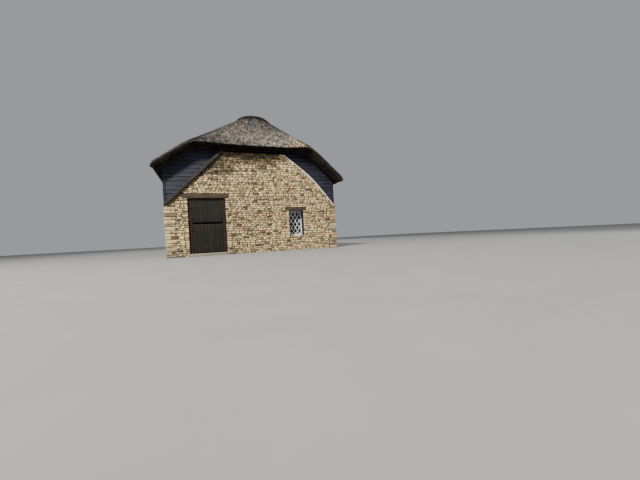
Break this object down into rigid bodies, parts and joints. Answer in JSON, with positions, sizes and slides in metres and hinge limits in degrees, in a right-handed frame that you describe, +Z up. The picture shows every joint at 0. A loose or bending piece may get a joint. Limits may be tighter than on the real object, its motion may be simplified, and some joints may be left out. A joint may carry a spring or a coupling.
{
  "type": "thatched cottage",
  "caption": "Small rubble-stone cottage with a steep half-hipped thatched roof, black weatherboarded gable tops, a split stable door and small white lattice casement windows.",
  "frame": {"origin": "ground level under the middle of the thatched roof", "axes": "+Z up, +Y from the door gable to the back gable along the ridge, +X to the right as seen from in front of the door gable"},
  "size_m": [7.38, 10.3, 5.9955],
  "materials": {
    "stone": "rough rubble of golden and buff stone in pale mortar",
    "flagstone": "worn flagstones",
    "tarred_boards": "black tarred weatherboards with a slight sheen",
    "oak": "weathered oak",
    "door_frame": "worn red-brown paint on timber",
    "door_plank": "weathered grey-brown planks",
    "wrought_iron": "dark wrought iron with a little rust",
    "white_paint": "white painted timber",
    "glass": "old leaded glass",
    "thatch": "weathered grey-brown reed thatch with lichen",
    "ridge_thatch": "dark weathered block ridge of thatch"
  },
  "bodies": {
    "cottage": {"front_wall_left": "stone", "front_wall_over_door": "stone", "front_wall_right": "stone", "back_wall": "stone", "left_wall": "stone", "right_wall": "stone", "floor": "flagstone", "door_threshold": "flagstone", "front_gable_boarding": "tarred_boards", "back_gable_boarding": "tarred_boards", "left_side_boarding": "tarred_boards", "right_side_boarding": "tarred_boards", "rake_timber": "oak", "left_wall_frame": "oak", "right_wall_frame": "oak", "front_truss_left_rafter": "oak", "front_truss_right_rafter": "oak", "front_truss_collar": "oak", "back_truss_left_rafter": "oak", "back_truss_right_rafter": "oak", "back_truss_collar": "oak", "ridge_beam": "oak", "left_purlin": "oak", "right_purlin": "oak", "door_lintel": "oak", "front_window_lintel": "oak", "door_jamb_left": "door_frame", "door_jamb_right": "door_frame", "door_head": "door_frame", "door_lower_bottom_pintle": "wrought_iron", "door_lower_top_pintle": "wrought_iron", "door_upper_bottom_pintle": "wrought_iron", "door_upper_top_pintle": "wrought_iron", "front_window_frame": "white_paint", "back_window_frame": "white_paint", "left_window_1_frame": "white_paint", "left_window_2_frame": "white_paint", "right_window_1_frame": "white_paint", "right_window_2_frame": "white_paint", "front_window_glass": "glass", "back_window_glass": "glass", "left_window_1_glass": "glass", "left_window_2_glass": "glass", "right_window_1_glass": "glass", "right_window_2_glass": "glass", "thatch_left_slope": "thatch", "thatch_right_slope": "thatch", "thatch_front_hip": "thatch", "thatch_back_hip": "thatch", "thatch_ridge": "ridge_thatch"},
    "door_lower": {"door_lower_leaf": "door_plank", "door_lower_bottom_strap": "wrought_iron", "door_lower_top_strap": "wrought_iron"},
    "door_upper": {"door_upper_leaf": "door_plank", "door_upper_bottom_strap": "wrought_iron", "door_upper_top_strap": "wrought_iron"}
  },
  "joints": [
    {"name": "door_lower_hinge", "type": "hinge", "parent": "cottage", "child": "door_lower", "pos_m": [-2.4465, -4.758, 0.66], "axis": [0, 0, -1], "range_deg": [0, 95]},
    {"name": "door_upper_hinge", "type": "hinge", "parent": "cottage", "child": "door_upper", "pos_m": [-2.4465, -4.758, 1.66], "axis": [0, 0, -1], "range_deg": [0, 95]}
  ]
}
